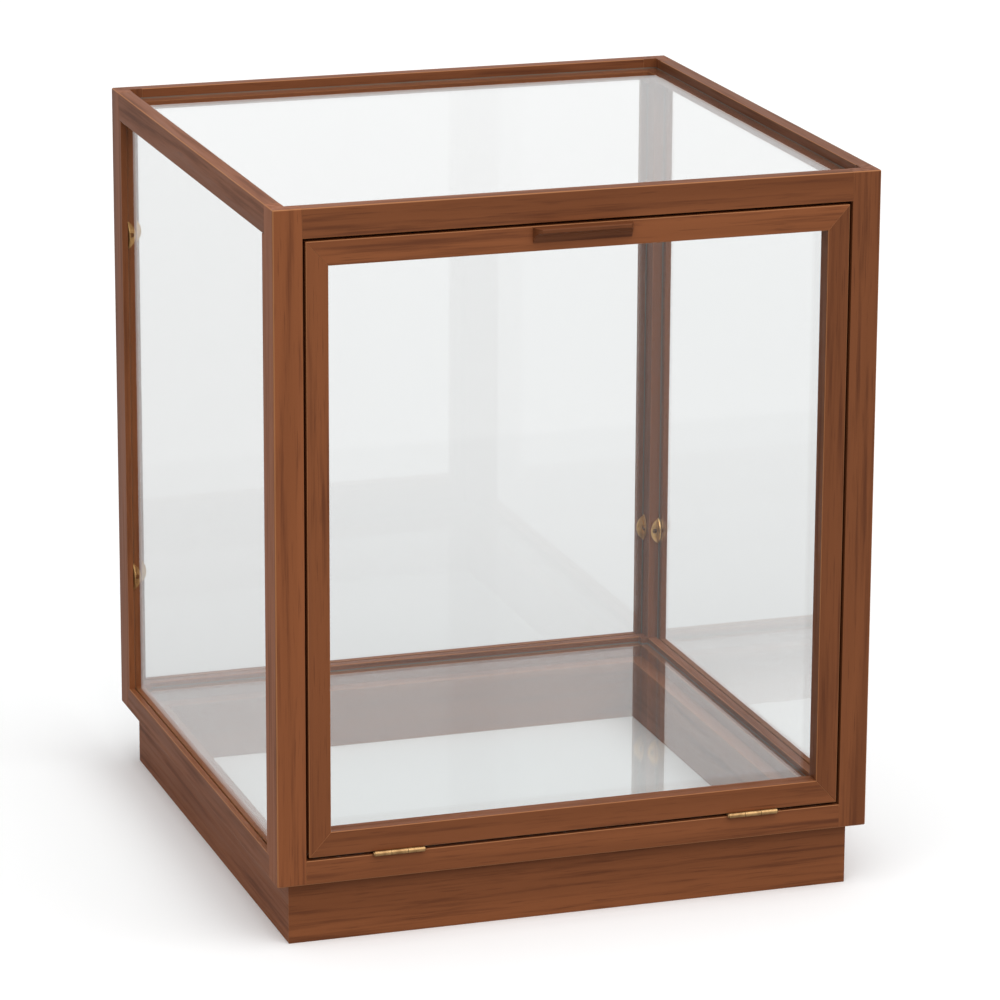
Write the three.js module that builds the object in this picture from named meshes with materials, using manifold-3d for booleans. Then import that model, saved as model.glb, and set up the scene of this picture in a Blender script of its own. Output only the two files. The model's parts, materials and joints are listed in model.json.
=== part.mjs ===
// Glazed display case on a recessed plinth, with a drop-down door at the front.
//
// Millimetres, +Z up, the door faces -Y. The origin is on the ground, under the middle of the whole
// footprint with the pull included.
//
// Frame members are drawn in the frame of the side or corner they belong to: u runs inwards from
// the outer side face, v inwards from the front or back face.

import * as THREE from 'three';
import { mergeVertices } from 'three/addons/utils/BufferGeometryUtils.js';
import Module from 'manifold-3d';

const wasm = await Module();
wasm.setup();

// ------------------------------------------------------------------ driving sizes

// The whole case
const caseWidth = 400;
const caseDepth = 400;
const caseHeight = 480;
const cornerRound = 1.5; // vertical outer corners
const arris = 1; // outer edges of the top and bottom rails
const glueLine = 0.05; // between two glued faces

// Plinth boards
const plinthHeight = 42;
const plinthSetback = 10; // from the outer faces of the case
const plinthThickness = 19;

// Posts and rails
const postSide = 19; // the rails are as wide as the posts
const topRailHeight = 19;
const bottomRailHeight = 16;

// Tenons of the rails, in mortises of the posts
const tenonLength = 7;
const tenonThickness = 5;
const tenonInset = 3; // outer face to tenon
const topTenonHeight = 10.5;
const topTenonRise = 5.5; // underside of the top rail to its tenon
const bottomTenonHeight = 6.5;
const bottomTenonRise = 3; // underside of the bottom rail to its tenon
const tenonPlay = 0.3;

// Side and back panes, behind an outer lip, in grooves at the front and bottom and rebates elsewhere
const paneThickness = 3;
const panePlay = 0.25; // at each face of a pane, and under a lying one
const paneEdgePlay = 0.5;
const outerLip = 4; // wood outside a pane
const postLipLap = 5; // how far the lips of the posts lap over a pane
const topRebateDepth = 4;
const bottomGrooveDepth = 5;
const backColumnWidth = 14; // back post inside its back lip

// Top glass, lying on a ledge inside a rim
const topGlassThickness = 4;
const topGlassDrop = 6; // top of the rim to the glass
const rimWidth = 10;

// Floor glass, lying in a rebate of the bottom rails
const floorGlassThickness = 4;
const floorGlassDrop = 3.5; // top of the bottom rail to the glass
const floorLedgeWidth = 5;

// Door and the stops behind it
const doorGap = 2; // all round the closed door
const doorThickness = 19;
const doorStileWidth = 14.5;
const doorRailWidth = 16;
const doorArris = 0.8;
const doorRevealDepth = 11.5; // front face to the rebate for the glass
const doorRebateWidth = 5;
const doorGlassThickness = 3;
const beadWidth = 2.8;
const stopGap = 0.3; // closed door to its stops
const stopThickness = 4.7;
const stopLap = 7; // how far a stop laps behind the door's edge

// Pull on the door's top rail
const pullRootWidth = 65;
const pullLipWidth = 58;
const pullProjection = 9;
const pullHeight = 10;
const pullLipHeight = 2.5;
const pullRootHeel = 0.8;
const pullCoveDepth = 3; // door to the point that the cove bends towards
const pullCoveRise = 6.4; // underside of the pull to that point
const pullEndDepth = 6.3; // door to the point that each end bends towards
const pullDrop = 0.5; // top of the door to top of the pull

// Butt hinges in the gap under the door
const hingeWidth = 33;
const hingeInset = 44.5; // inner face of the post to the hinge
const leafDepth = 12; // from the axis
const leafSeat = 0.05; // leaf to wood
const leafParting = 0.1; // between the closed leaves
const barrelDiameter = 3.4;
const barrelStandoff = 0.1; // front of the case to the barrel
const knuckleGap = 0.3;
const pinDiameter = 1.6;
const pinPlay = 0.2;
const pinHeadDiameter = 2.8;
const pinHeadHeight = 0.7;
const hingeScrewHole = 2.4;
const hingeScrewSpacing = 20;
const hingeScrewDepth = 7.5; // from the axis

// Glass clips on the back posts
const clipHeight = 19;
const clipReach = 5.75;
const clipThickness = 0.8;
const clipScrewHole = 2.2;
const clipFromRail = 80; // rail edge to the middle of the clip

// Magnetic catch between the head stop and the door
const magnetDiameter = 4;
const magnetLength = 3;
const strikeThickness = 1.5;
const catchPlay = 0.2;

// ------------------------------------------------------------------ derived levels

const carcassHeight = caseHeight - plinthHeight;
const topRailLevel = carcassHeight - topRailHeight; // above the plinth, as are all carcass levels
const paneSlot = paneThickness + 2 * panePlay;
const slotEnd = outerLip + paneSlot;
const paneInner = outerLip + panePlay + paneThickness;
const postLipEnd = postSide + postLipLap;
const topLedge = topRailHeight - topGlassDrop - topGlassThickness - panePlay;
const floorLedge = bottomRailHeight - floorGlassDrop - floorGlassThickness - panePlay;
const rebateStart = postSide - floorLedgeWidth;
const stopFront = doorThickness + stopGap;
const stopBack = stopFront + stopThickness;
const sideStopEdge = postSide + doorGap + stopLap;
const headStopHeight = doorGap + stopLap;
const doorWidth = caseWidth - 2 * postSide - 2 * doorGap;
const doorHeight = topRailLevel - bottomRailHeight - 2 * doorGap;
const doorMiddle = plinthHeight + bottomRailHeight + doorGap + doorHeight / 2;
const doorRebateDepth = doorThickness - doorRevealDepth;
const hingeAxisY = -caseDepth / 2 - barrelStandoff - barrelDiameter / 2;
const hingeAxisZ = plinthHeight + bottomRailHeight + doorGap / 2;
const catchDrop = stopLap / 2; // top of the door to the middle of the catch

// ------------------------------------------------------------------ finishes

const walnut = () => new THREE.MeshStandardMaterial({ color: 0x7c4d32, roughness: 0.5 });
const brass = () => new THREE.MeshStandardMaterial({ color: 0xc69c64, roughness: 0.35, metalness: 1 });
const steel = () => new THREE.MeshStandardMaterial({ color: 0xb8babd, roughness: 0.3, metalness: 1 });
const glass = () => new THREE.MeshStandardMaterial({
  color: 0xe9f2ee,
  roughness: 0.03,
  transparent: true,
  opacity: 0.3,
});

// ------------------------------------------------------------------ geometry helpers

const curveSteps = 3;
const roundSteps = 24;

// The solid inside a closed geometry.
function solid(geometry) {
  const bare = geometry.clone();
  bare.deleteAttribute('normal');
  bare.deleteAttribute('uv');
  const merged = mergeVertices(bare);
  return new wasm.Manifold(new wasm.Mesh({
    numProp: 3,
    vertProperties: new Float32Array(merged.attributes.position.array),
    triVerts: new Uint32Array(merged.index.array),
  }));
}

// The surface of a solid, with flat-shaded faces. Corners that a cut left within a hair of each
// other become one, and the slivers between them go.
function surface(body) {
  const { vertProperties, triVerts } = body.getMesh();
  const cut = new THREE.BufferGeometry();
  cut.setAttribute('position', new THREE.BufferAttribute(vertProperties, 3));
  cut.setIndex(new THREE.BufferAttribute(triVerts, 1));
  const merged = mergeVertices(cut);
  const index = merged.index.array;
  const kept = [];
  for (let i = 0; i < index.length; i += 3) {
    const [a, b, c] = index.slice(i, i + 3);
    if (a !== b && b !== c && c !== a) kept.push(a, b, c);
  }
  merged.setIndex(kept);
  const flat = merged.toNonIndexed();
  flat.computeVertexNormals();
  return flat;
}

// A box between two opposite corners.
function block([x0, y0, z0], [x1, y1, z1]) {
  const box = new THREE.BoxGeometry(x1 - x0, y1 - y0, z1 - z0);
  return solid(box.translate((x0 + x1) / 2, (y0 + y1) / 2, (z0 + z1) / 2));
}

// A closed outline through [x, y, round] corners, where round eases that corner.
function outline(corners) {
  const shape = new THREE.Shape();
  const at = ([x, y]) => new THREE.Vector2(x, y);
  corners.forEach((corner, i) => {
    const here = at(corner);
    const round = corner[2] ?? 0;
    const before = at(corners.at(i - 1)).sub(here).setLength(round).add(here);
    const after = at(corners[(i + 1) % corners.length]).sub(here).setLength(round).add(here);
    if (i === 0) shape.moveTo(before.x, before.y);
    else shape.lineTo(before.x, before.y);
    if (round > 0) shape.quadraticCurveTo(here.x, here.y, after.x, after.y);
  });
  return shape;
}

// An outline in XY, raised from one level to another. Both levels are set and not added up, so
// that prisms that share a level meet exactly.
function prism(shape, bottom, top) {
  const settings = { depth: 1, bevelEnabled: false, curveSegments: curveSteps };
  const geometry = new THREE.ExtrudeGeometry(shape, settings);
  const position = geometry.attributes.position;
  for (let i = 0; i < position.count; i += 1) {
    position.setZ(i, position.getZ(i) > 0 ? top : bottom);
  }
  return geometry;
}

// A bar along X, centred on x = 0, whose section's x and y lie along +Y and +Z.
function bar(shape, length) {
  const lying = new THREE.Matrix4().makeBasis(
    new THREE.Vector3(0, 1, 0),
    new THREE.Vector3(0, 0, 1),
    new THREE.Vector3(1, 0, 0),
  );
  return prism(shape, -length / 2, length / 2).applyMatrix4(lying);
}

// A bar whose ends are mitred: at a distance y from its outer edge they lie y * slope further in.
function mitredBar(shape, length, slope) {
  const geometry = bar(shape, length);
  const position = geometry.attributes.position;
  for (let i = 0; i < position.count; i += 1) {
    const reach = length / 2 - glueLine - position.getY(i) * slope;
    position.setX(i, Math.sign(position.getX(i)) * reach);
  }
  return geometry;
}

// A round bar along Y, from y = 0 to y = length.
function plug(diameter, length) {
  const rod = new THREE.CylinderGeometry(diameter / 2, diameter / 2, length, roundSteps);
  return rod.translate(0, length / 2, 0);
}

// A geometry put through a matrix, with its faces turned again if the matrix mirrors it.
function reshaped(geometry, matrix) {
  const result = geometry.clone().applyMatrix4(matrix);
  if (matrix.determinant() < 0) {
    const position = result.attributes.position.array;
    for (let i = 0; i < position.length; i += 9) {
      const first = position.slice(i, i + 3);
      position.copyWithin(i, i + 3, i + 6);
      position.set(first, i + 3);
    }
    result.computeVertexNormals();
  }
  return result;
}

function named(name, geometry, material) {
  const mesh = new THREE.Mesh(geometry, material);
  mesh.name = name;
  return mesh;
}

// Puts a mesh or group on one side of a width x depth rectangle: 0 front, 1 right, 2 back, 3 left.
// Its own +X then runs along that side and its +Y points inwards.
function onSide(object, side, width, depth) {
  const angle = side * Math.PI / 2;
  const reach = side % 2 === 0 ? depth / 2 : width / 2;
  object.rotation.z = angle;
  object.position.x += reach * Math.sin(angle);
  object.position.y -= reach * Math.cos(angle);
  return object;
}

// Puts a piece drawn in u, v at one corner of the case.
function atCorner(name, geometry, material, isRight, isBack) {
  const inX = isRight ? -1 : 1;
  const inY = isBack ? -1 : 1;
  const mesh = named(name, reshaped(geometry, new THREE.Matrix4().makeScale(inX, inY, 1)), material);
  mesh.position.set(-inX * caseWidth / 2, -inY * caseDepth / 2, 0);
  return mesh;
}

const sides = ['front', 'right', 'back', 'left'];
const corners = [
  { name: 'front_left', isRight: false, isBack: false },
  { name: 'front_right', isRight: true, isBack: false },
  { name: 'back_left', isRight: false, isBack: true },
  { name: 'back_right', isRight: true, isBack: true },
];

// ------------------------------------------------------------------ carcass

// The room that the carcass fills, with eased corners and edges, from a corner at u = v = 0.
function easedEnvelope(width, depth) {
  const plan = outline([
    [0, 0, cornerRound],
    [width, 0, cornerRound],
    [width, depth, cornerRound],
    [0, depth, cornerRound],
  ]);
  const settings = {
    depth: carcassHeight - 2 * arris,
    bevelThickness: arris,
    bevelSize: arris,
    bevelOffset: -arris,
    bevelSegments: curveSteps,
    curveSegments: curveSteps,
  };
  return new THREE.ExtrudeGeometry(plan, settings).translate(0, 0, arris);
}

// Tenon levels above the plinth, as [bottom, top].
const tenonLevels = [
  [bottomTenonRise, bottomTenonRise + bottomTenonHeight],
  [topRailLevel + topTenonRise, topRailLevel + topTenonRise + topTenonHeight],
];

// Every post: square where the rails meet it, with mortises and the notch for the top glass, and
// worked to its own section between the rails.
function postBody(section) {
  const square = outline([[0, 0], [postSide, 0], [postSide, postSide], [0, postSide]]);
  const sectionBottom = bottomRailHeight + glueLine;
  const sectionTop = topRailLevel - glueLine;
  let post = solid(prism(square, 0, sectionBottom))
    .add(solid(prism(outline(section), sectionBottom, sectionTop)))
    .add(solid(prism(square, sectionTop, carcassHeight)));
  const near = tenonInset - tenonPlay;
  const far = tenonInset + tenonThickness + tenonPlay;
  const end = postSide - tenonLength - tenonPlay;
  for (const [bottom, top] of tenonLevels) {
    const low = bottom - tenonPlay;
    const high = top + tenonPlay;
    post = post.subtract(block([near, end, low], [far, postSide + 1, high]));
    post = post.subtract(block([end, near, low], [postSide + 1, far, high]));
  }
  const notchFloor = topRailLevel + topLedge;
  const past = postSide + 1;
  post = post.subtract(block([rimWidth, rimWidth, notchFloor], [past, past, carcassHeight + 1]));
  return post.intersect(solid(easedEnvelope(caseWidth, caseDepth)));
}

// A front post carries the door's side stop, whose edge is also the inner wall of the pane groove.
function frontPost() {
  return postBody([
    [0, 0],
    [postSide, 0],
    [postSide, stopFront],
    [sideStopEdge, stopFront],
    [sideStopEdge, stopBack],
    [slotEnd, stopBack],
    [slotEnd, postSide],
    [outerLip, postSide],
    [outerLip, postLipEnd],
    [0, postLipEnd],
  ]);
}

// A back post has a lip over each of its two panes. The back pane's edge also runs through it
// beside the ends of the back rails.
function backPost() {
  const post = postBody([
    [0, 0],
    [postSide, 0],
    [postSide, outerLip],
    [backColumnWidth, outerLip],
    [backColumnWidth, postSide],
    [outerLip, postSide],
    [outerLip, postLipEnd],
    [0, postLipEnd],
  ]);
  const slotBottom = bottomRailHeight - bottomGrooveDepth;
  const slotTop = topRailLevel + topRebateDepth;
  const slot = block([backColumnWidth, outerLip, slotBottom], [postSide + 1, slotEnd, slotTop]);
  return post.subtract(slot);
}

// A rail drawn as long as its tenons reach, cut back to its shoulders around them.
function tenonedRail(section, side, level, tenonRise, tenonHeight) {
  const [along, across] = side % 2 === 0 ? [caseWidth, caseDepth] : [caseDepth, caseWidth];
  const shoulder = along / 2 - postSide - glueLine;
  const tip = shoulder + tenonLength;
  const shoulders = block([-shoulder, -1, -1], [shoulder, across / 2, carcassHeight]);
  const tenons = block(
    [-tip, tenonInset, tenonRise],
    [tip, tenonInset + tenonThickness, tenonRise + tenonHeight],
  );
  const envelope = easedEnvelope(along, across).translate(-along / 2, 0, -level);
  return solid(bar(outline(section), 2 * tip))
    .intersect(shoulders.add(tenons))
    .intersect(solid(envelope));
}

// The stop along the underside of the front top rail, with the magnet's pocket.
function headStop() {
  const length = caseWidth - 2 * sideStopEdge - 2 * glueLine;
  const section = [
    [stopFront, -headStopHeight],
    [stopBack, -headStopHeight],
    [stopBack, 0],
    [stopFront, 0],
  ];
  const pocket = plug(magnetDiameter + 2 * catchPlay, magnetLength + catchPlay)
    .translate(0, stopFront, -doorGap - catchDrop);
  return solid(bar(outline(section), length)).subtract(solid(pocket));
}

// Each top rail has a rim round the top glass and a ledge under it. The front one also has the
// door's head stop, and the others are rebated under the ledge for a pane.
function topRail(side) {
  const ledgeEnd = side === 0 ? stopBack : postSide;
  const ledgeAndRim = [
    [ledgeEnd, topLedge],
    [rimWidth, topLedge],
    [rimWidth, topRailHeight],
    [0, topRailHeight],
    [0, 0],
  ];
  const underside = side === 0
    ? [[ledgeEnd, 0]]
    : [[outerLip, 0], [outerLip, topRebateDepth], [ledgeEnd, topRebateDepth]];
  const section = [...ledgeAndRim, ...underside];
  const rail = tenonedRail(section, side, topRailLevel, topTenonRise, topTenonHeight);
  return side === 0 ? rail.add(headStop()) : rail;
}

function bottomRail(side) {
  const profile = [
    [0, bottomRailHeight],
    [0, 0],
    [postSide, 0],
    [postSide, floorLedge],
    [rebateStart, floorLedge],
    [rebateStart, bottomRailHeight],
  ];
  const grooveFloor = bottomRailHeight - bottomGrooveDepth;
  const groove = [
    [slotEnd, bottomRailHeight],
    [slotEnd, grooveFloor],
    [outerLip, grooveFloor],
    [outerLip, bottomRailHeight],
  ];
  const section = side === 0 ? profile : [...profile, ...groove];
  return tenonedRail(section, side, 0, bottomTenonRise, bottomTenonHeight);
}

function carcass() {
  const group = new THREE.Group();
  const posts = { front: surface(frontPost()), back: surface(backPost()) };
  for (const { name, isRight, isBack } of corners) {
    const shape = isBack ? posts.back : posts.front;
    group.add(atCorner(`post_${name}`, shape, walnut(), isRight, isBack));
  }
  sides.forEach((side, i) => {
    const top = named(`top_rail_${side}`, surface(topRail(i)), walnut());
    top.position.z = topRailLevel;
    const bottom = named(`bottom_rail_${side}`, surface(bottomRail(i)), walnut());
    group.add(onSide(top, i, caseWidth, caseDepth), onSide(bottom, i, caseWidth, caseDepth));
  });
  group.position.z = plinthHeight;
  return group;
}

// ------------------------------------------------------------------ plinth

// Four bars mitred round a width x depth rectangle, listed from the front one anticlockwise. A
// member's face is its width as seen along Z.
function mitredFrame(width, depth, members, material) {
  const group = new THREE.Group();
  members.forEach(({ name, section, face, cuts = [] }, side) => {
    const length = side % 2 === 0 ? width : depth;
    const slope = members[(side + 1) % 4].face / face;
    const blank = solid(mitredBar(outline(section), length, slope));
    const shaped = cuts.reduce((rest, cut) => rest.subtract(cut), blank);
    group.add(onSide(named(name, surface(shaped), material()), side, width, depth));
  });
  return group;
}

function plinth() {
  const top = plinthHeight - glueLine;
  const section = [
    [0, 0],
    [plinthThickness, 0],
    [plinthThickness, top],
    [0, top],
  ];
  const members = sides.map((side) => ({ name: `plinth_${side}`, section, face: plinthThickness }));
  return mitredFrame(caseWidth - 2 * plinthSetback, caseDepth - 2 * plinthSetback, members, walnut);
}

// ------------------------------------------------------------------ fixed glass

// An upright pane of the given width, set in the rails and posts of one side.
function uprightPane(name, side, width) {
  const bottom = bottomRailHeight - bottomGrooveDepth + panePlay;
  const top = topRailLevel + topRebateDepth - paneEdgePlay;
  const pane = new THREE.BoxGeometry(width, paneThickness, top - bottom);
  pane.translate(0, outerLip + panePlay + paneThickness / 2, (top + bottom) / 2);
  return onSide(named(name, pane, glass()), side, caseWidth, caseDepth);
}

function fixedGlass() {
  const group = new THREE.Group();
  const sideWidth = caseDepth - 2 * postSide - 2 * paneEdgePlay;
  const backWidth = caseWidth - 2 * backColumnWidth - 2 * paneEdgePlay;
  group.add(uprightPane('glass_right', 1, sideWidth));
  group.add(uprightPane('glass_back', 2, backWidth));
  group.add(uprightPane('glass_left', 3, sideWidth));

  const topInset = 2 * (rimWidth + panePlay);
  const lid = new THREE.BoxGeometry(caseWidth - topInset, caseDepth - topInset, topGlassThickness);
  const topSheet = named('glass_top', lid, glass());
  topSheet.position.z = carcassHeight - topGlassDrop - topGlassThickness / 2;
  group.add(topSheet);

  // The floor sheet's corners are notched round the posts.
  const x = caseWidth / 2 - rebateStart - panePlay;
  const y = caseDepth / 2 - rebateStart - panePlay;
  const notch = floorLedgeWidth;
  const sheet = outline([
    [-x + notch, -y],
    [x - notch, -y],
    [x - notch, -y + notch],
    [x, -y + notch],
    [x, y - notch],
    [x - notch, y - notch],
    [x - notch, y],
    [-x + notch, y],
    [-x + notch, y - notch],
    [-x, y - notch],
    [-x, -y + notch],
    [-x + notch, -y + notch],
  ]);
  const floorTop = bottomRailHeight - floorGlassDrop;
  group.add(named('glass_floor', prism(sheet, floorTop - floorGlassThickness, floorTop), glass()));
  group.position.z = plinthHeight;
  return group;
}

// ------------------------------------------------------------------ door

// Section of a door member lying on its back: its outer edge at 0, its front face up.
function doorSection(face) {
  return [
    [0, 0],
    [face - doorRebateWidth, 0],
    [face - doorRebateWidth, doorRebateDepth],
    [face, doorRebateDepth],
    [face, doorThickness, doorArris],
    [0, doorThickness, doorArris],
  ];
}

function strikePocket() {
  const pocket = plug(magnetDiameter + 2 * catchPlay, strikeThickness + catchPlay);
  return solid(pocket.rotateX(Math.PI / 2).translate(0, catchDrop, 0));
}

// The frame lies on its back, so its bottom rail is at the front of the rectangle.
function doorFrame() {
  const rail = { section: doorSection(doorRailWidth), face: doorRailWidth };
  const stile = { section: doorSection(doorStileWidth), face: doorStileWidth };
  const members = [
    { name: 'door_rail_bottom', ...rail },
    { name: 'door_stile_right', ...stile },
    { name: 'door_rail_top', ...rail, cuts: [strikePocket()] },
    { name: 'door_stile_left', ...stile },
  ];
  return mitredFrame(doorWidth, doorHeight, members, walnut);
}

function doorBeads() {
  const top = doorRebateDepth - doorGlassThickness - 2 * panePlay;
  const section = [
    [glueLine, 0],
    [beadWidth, 0, doorArris],
    [beadWidth, top],
    [glueLine, top],
  ];
  const names = ['bottom', 'right', 'top', 'left'].map((side) => `door_bead_${side}`);
  const members = names.map((name) => ({ name, section, face: beadWidth }));
  const width = doorWidth - 2 * (doorStileWidth - doorRebateWidth);
  const height = doorHeight - 2 * (doorRailWidth - doorRebateWidth);
  return mitredFrame(width, height, members, walnut);
}

function doorPane() {
  const width = doorWidth - 2 * (doorStileWidth - doorRebateWidth + paneEdgePlay);
  const height = doorHeight - 2 * (doorRailWidth - doorRebateWidth + paneEdgePlay);
  const pane = named('door_glass', new THREE.BoxGeometry(width, height, doorGlassThickness), glass());
  pane.position.z = doorRebateDepth - panePlay - doorGlassThickness / 2;
  return pane;
}

// A finger pull, coved underneath, with ends that sweep in to its lip. Its section runs outwards
// from the door and up, and its plan is seen from above.
function pull() {
  const section = new THREE.Shape();
  section.moveTo(0, 0);
  section.lineTo(pullRootHeel, 0);
  const lipBottom = pullHeight - pullLipHeight;
  section.quadraticCurveTo(pullCoveDepth, pullCoveRise, pullProjection, lipBottom);
  section.lineTo(pullProjection, pullHeight - doorArris);
  section.quadraticCurveTo(pullProjection, pullHeight, pullProjection - doorArris, pullHeight);
  section.lineTo(0, pullHeight);

  const root = pullRootWidth / 2;
  const lip = pullLipWidth / 2;
  const plan = new THREE.Shape();
  plan.moveTo(-root, 0);
  plan.lineTo(root, 0);
  plan.quadraticCurveTo(root, pullEndDepth, lip, pullProjection);
  plan.lineTo(-lip, pullProjection);
  plan.quadraticCurveTo(-root, pullEndDepth, -root, 0);

  const steps = { curveSegments: 10, bevelEnabled: false };
  const length = new THREE.ExtrudeGeometry(section, { ...steps, depth: pullRootWidth });
  const lengthwise = new THREE.Matrix4().makeBasis(
    new THREE.Vector3(0, 0, 1),
    new THREE.Vector3(0, 1, 0),
    new THREE.Vector3(-1, 0, 0),
  );
  length.translate(0, 0, -root).applyMatrix4(lengthwise);
  const ends = new THREE.ExtrudeGeometry(plan, { ...steps, depth: pullHeight });
  ends.applyMatrix4(new THREE.Matrix4().makeBasis(
    new THREE.Vector3(1, 0, 0),
    new THREE.Vector3(0, 0, 1),
    new THREE.Vector3(0, -1, 0),
  ));
  ends.translate(0, pullHeight, 0);
  const body = solid(length).intersect(solid(ends));
  const mesh = named('door_pull', surface(body), walnut());
  mesh.position.set(0, doorHeight / 2 - pullDrop - pullHeight, doorThickness + glueLine);
  return mesh;
}

function strike() {
  const disc = plug(magnetDiameter, strikeThickness).rotateX(Math.PI / 2);
  const mesh = named('catch_strike', disc, steel());
  mesh.position.set(0, doorHeight / 2 - catchDrop, 0);
  return mesh;
}

// The door is built lying on its back face and then stood up in its opening.
function door() {
  const group = new THREE.Group();
  group.add(doorFrame(), doorPane(), doorBeads(), pull(), strike());
  group.rotation.x = Math.PI / 2;
  group.position.set(0, -caseDepth / 2 + doorThickness, doorMiddle);
  return group;
}

// ------------------------------------------------------------------ hinges

// A rod along X between two ends.
function axisRod(diameter, from, to) {
  const rod = new THREE.CylinderGeometry(diameter / 2, diameter / 2, to - from, roundSteps);
  return solid(rod.rotateZ(Math.PI / 2).translate((from + to) / 2, 0, 0));
}

// One leaf with its knuckles, hollow for the pin and cut clear of the other leaf's knuckles. It
// lies below the axis for the case and above it for the door.
function hingeLeaf(isDoor) {
  const half = hingeWidth / 2;
  const pitch = hingeWidth / 3;
  const thickness = (doorGap - leafParting - 2 * leafSeat) / 2;
  const near = leafParting / 2;
  const [bottom, top] = isDoor ? [near, near + thickness] : [-near - thickness, -near];
  let leaf = block([-half, 0, bottom], [half, leafDepth, top]);
  for (let i = 0; i < 3; i += 1) {
    const from = -half + i * pitch;
    const to = from + pitch;
    const isOwn = (i === 1) === isDoor;
    if (isOwn) {
      const start = from + (i > 0 ? knuckleGap / 2 : 0);
      const end = to - (i < 2 ? knuckleGap / 2 : 0);
      leaf = leaf.add(axisRod(barrelDiameter, start, end));
    } else {
      const room = knuckleGap / 2;
      leaf = leaf.subtract(axisRod(barrelDiameter + knuckleGap, from - room, to + room));
    }
  }
  for (const x of [-hingeScrewSpacing / 2, hingeScrewSpacing / 2]) {
    const hole = new THREE.CylinderGeometry(hingeScrewHole / 2, hingeScrewHole / 2, 2 * doorGap, roundSteps);
    leaf = leaf.subtract(solid(hole.rotateX(Math.PI / 2).translate(x, hingeScrewDepth, 0)));
  }
  return leaf.subtract(axisRod(pinDiameter + 2 * pinPlay, -half - 1, half + 1));
}

// A pin with a domed head at each end of the barrel.
function hingePin() {
  const shank = pinDiameter / 2;
  const head = pinHeadDiameter / 2;
  const end = hingeWidth / 2 + panePlay;
  const profile = new THREE.Path();
  profile.moveTo(0, -end - pinHeadHeight);
  profile.quadraticCurveTo(head, -end - pinHeadHeight, head, -end);
  profile.lineTo(shank, -end);
  profile.lineTo(shank, end);
  profile.lineTo(head, end);
  profile.quadraticCurveTo(head, end + pinHeadHeight, 0, end + pinHeadHeight);
  return new THREE.LatheGeometry(profile.getPoints(4), roundSteps).rotateZ(Math.PI / 2);
}

function hinge(name, x) {
  const group = new THREE.Group();
  group.add(named(`hinge_${name}_case_leaf`, surface(hingeLeaf(false)), brass()));
  group.add(named(`hinge_${name}_door_leaf`, surface(hingeLeaf(true)), brass()));
  group.add(named(`hinge_${name}_pin`, hingePin(), brass()));
  group.position.set(x, hingeAxisY, hingeAxisZ);
  return group;
}

function hinges() {
  const group = new THREE.Group();
  const reach = caseWidth / 2 - postSide - hingeInset - hingeWidth / 2;
  group.add(hinge('left', -reach), hinge('right', reach));
  return group;
}

// ------------------------------------------------------------------ clips and catch

// One leg of a clip, standing on the fold line x = 0: part of a disc, clipHeight tall at the fold.
function clipLeg() {
  const half = clipHeight / 2;
  const radius = (half * half + clipReach * clipReach) / (2 * clipReach);
  const turn = Math.asin(half / radius);
  const shape = new THREE.Shape();
  shape.absarc(clipReach - radius, 0, radius, -turn, turn);
  return new THREE.ExtrudeGeometry(shape, {
    depth: clipThickness,
    bevelEnabled: false,
    curveSegments: roundSteps / 2,
  });
}

// A disc folded square: its base leg along +X, with the screw hole, and its flange along +Y.
function clip() {
  const stand = new THREE.Matrix4().makeBasis(
    new THREE.Vector3(1, 0, 0),
    new THREE.Vector3(0, 0, 1),
    new THREE.Vector3(0, -1, 0),
  );
  const base = clipLeg().applyMatrix4(stand).translate(0, clipThickness, 0);
  const swing = new THREE.Matrix4().makeBasis(
    new THREE.Vector3(0, 1, 0),
    new THREE.Vector3(0, 0, 1),
    new THREE.Vector3(1, 0, 0),
  );
  const flange = clipLeg().applyMatrix4(swing);
  const hole = plug(clipScrewHole, clipThickness + 2).translate(clipReach / 2, -1, 0);
  return surface(solid(base).add(solid(flange)).subtract(solid(hole)));
}

// Each back post has a clip for the side pane and one for the back pane, at two heights.
function clips() {
  const group = new THREE.Group();
  const folded = clip();
  const swapped = reshaped(folded, new THREE.Matrix4().makeBasis(
    new THREE.Vector3(0, 1, 0),
    new THREE.Vector3(1, 0, 0),
    new THREE.Vector3(0, 0, 1),
  ));
  const heights = {
    lower: bottomRailHeight + clipFromRail,
    upper: topRailLevel - clipFromRail,
  };
  const backCorners = corners.filter(({ isBack }) => isBack);
  for (const { name, isRight, isBack } of backCorners) {
    for (const [level, z] of Object.entries(heights)) {
      const side = folded.clone().translate(paneInner, postSide, z);
      const back = swapped.clone().translate(backColumnWidth, paneInner, z);
      const at = name.replace('back_', '');
      group.add(atCorner(`clip_${at}_side_pane_${level}`, side, brass(), isRight, isBack));
      group.add(atCorner(`clip_${at}_back_pane_${level}`, back, brass(), isRight, isBack));
    }
  }
  group.position.z = plinthHeight;
  return group;
}

function magnet() {
  const mesh = named('catch_magnet', plug(magnetDiameter, magnetLength), steel());
  const height = caseHeight - topRailHeight - doorGap - catchDrop;
  mesh.position.set(0, -caseDepth / 2 + stopFront, height);
  return mesh;
}

// ------------------------------------------------------------------ assembly

const displayCase = new THREE.Group();
displayCase.add(carcass(), plinth(), fixedGlass(), door(), hinges(), clips(), magnet());
displayCase.position.y = (pullProjection + glueLine) / 2;

export default displayCase;
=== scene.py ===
"""Dresses the glazed display case and sets it in a pale studio.

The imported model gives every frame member, pane and fitting its size and place. This script eases
their edges, countersinks the hinges, adds the screws, gives each piece its finish, and lights the
case for its portrait.
Everything is in metres, with +Z up and the door towards -Y.
"""

import json
import logging
import math
from dataclasses import dataclass, field
from enum import Enum
from typing import Iterable

import bpy
from mathutils import Matrix, Vector

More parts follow.
